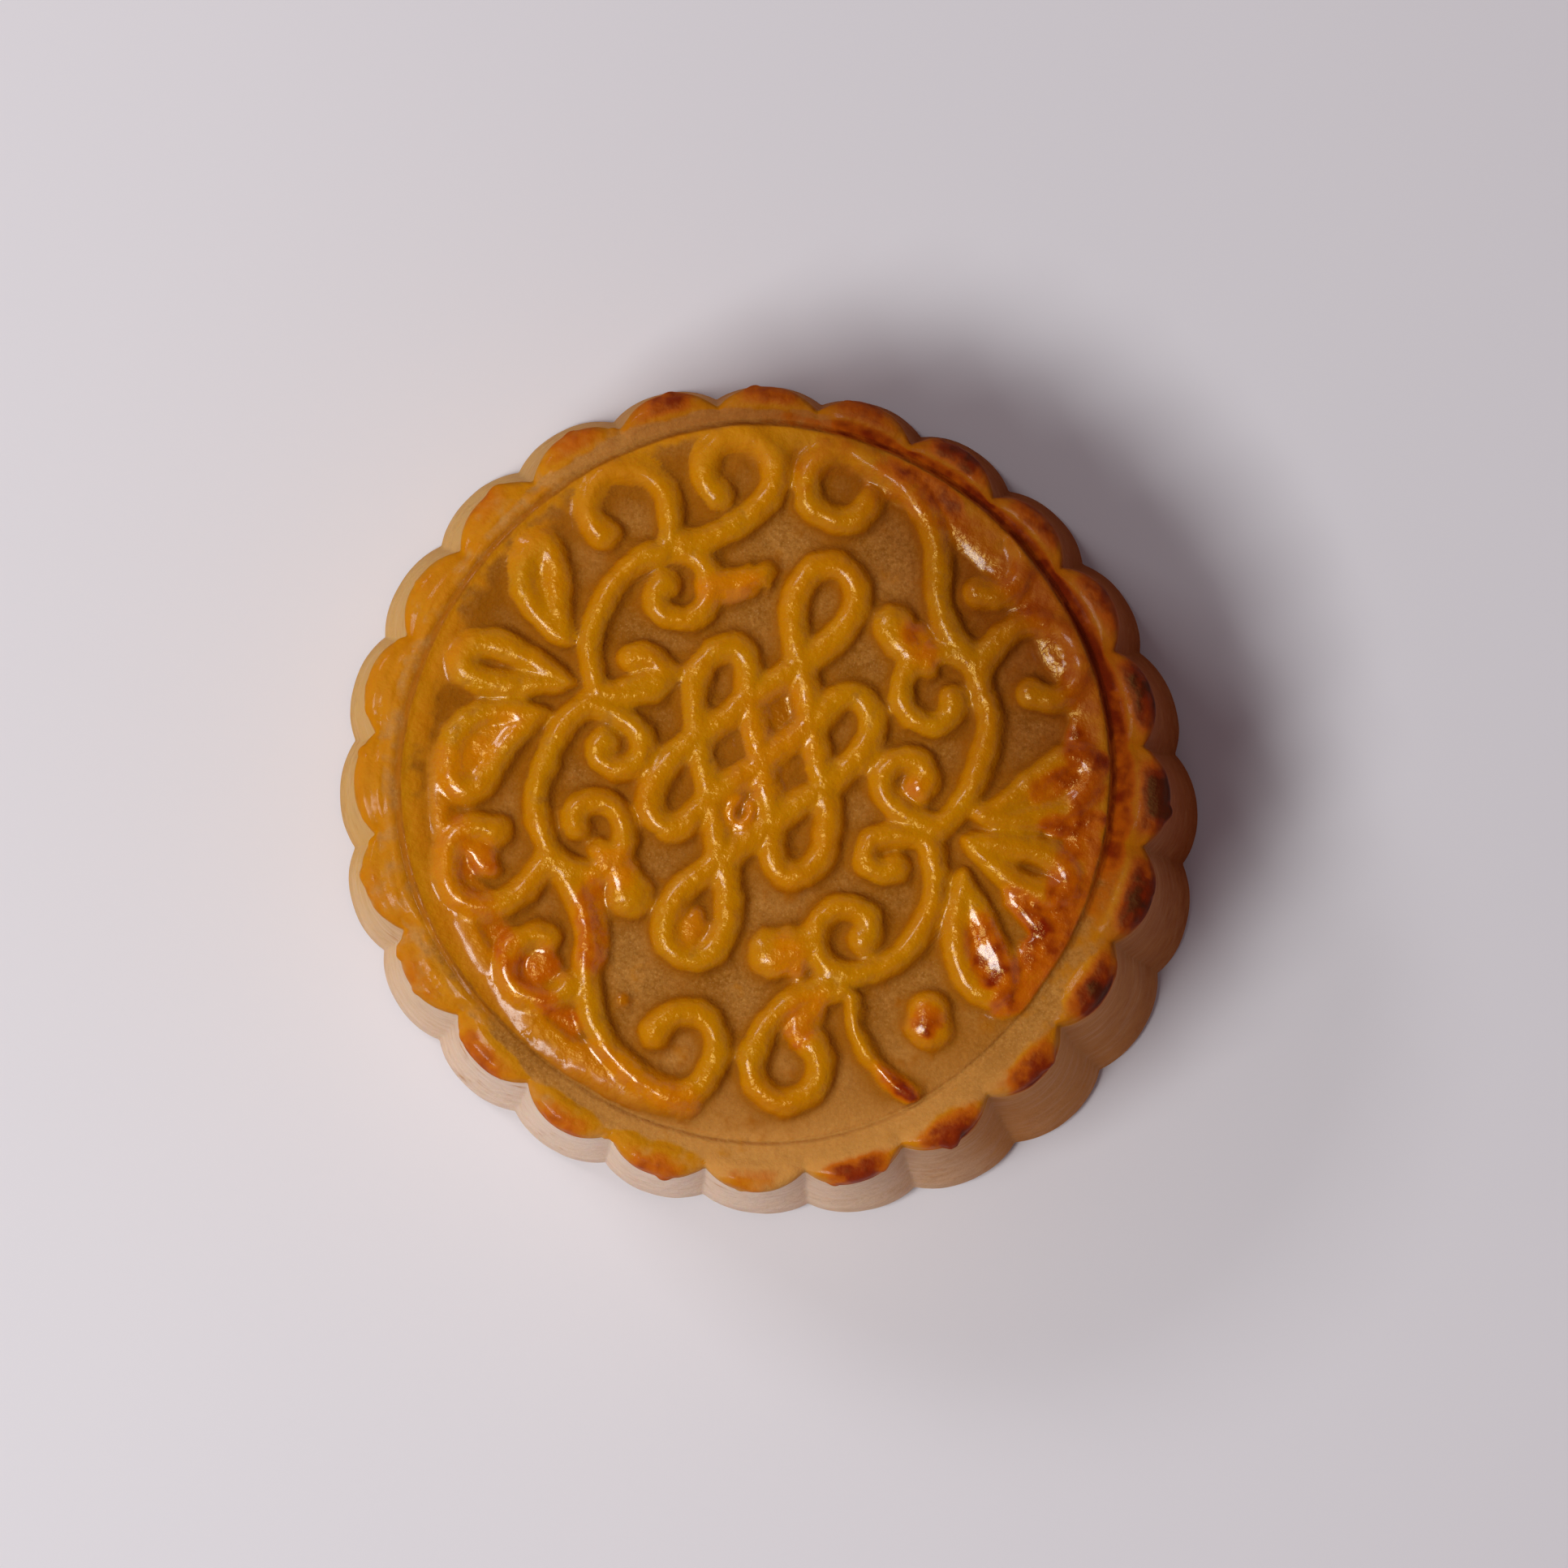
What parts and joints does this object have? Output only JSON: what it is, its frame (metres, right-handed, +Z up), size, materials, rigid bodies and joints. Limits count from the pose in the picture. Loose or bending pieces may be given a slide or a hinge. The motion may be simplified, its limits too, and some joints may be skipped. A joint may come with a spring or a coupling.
{
  "type": "mooncake",
  "caption": "Round baked mooncake with a fluted wall, a scalloped rim, a slumped foot and a raised top ornament of leaf scrolls, petal fans and an endless knot.",
  "frame": {"origin": "centre of the bounding box's underside, on the surface the cake rests on", "axes": "+Z up, +Y along the endless knot's long axis, +X through the fan of petals at the right"},
  "size_m": [0.0718, 0.0684, 0.029],
  "materials": {
    "crust": "baked golden syrup dough, glossy egg wash on the raised ornament and the rim, matte on the ground and the wall"
  },
  "bodies": {
    "root": {"mooncake": "crust"}
  },
  "joints": []
}
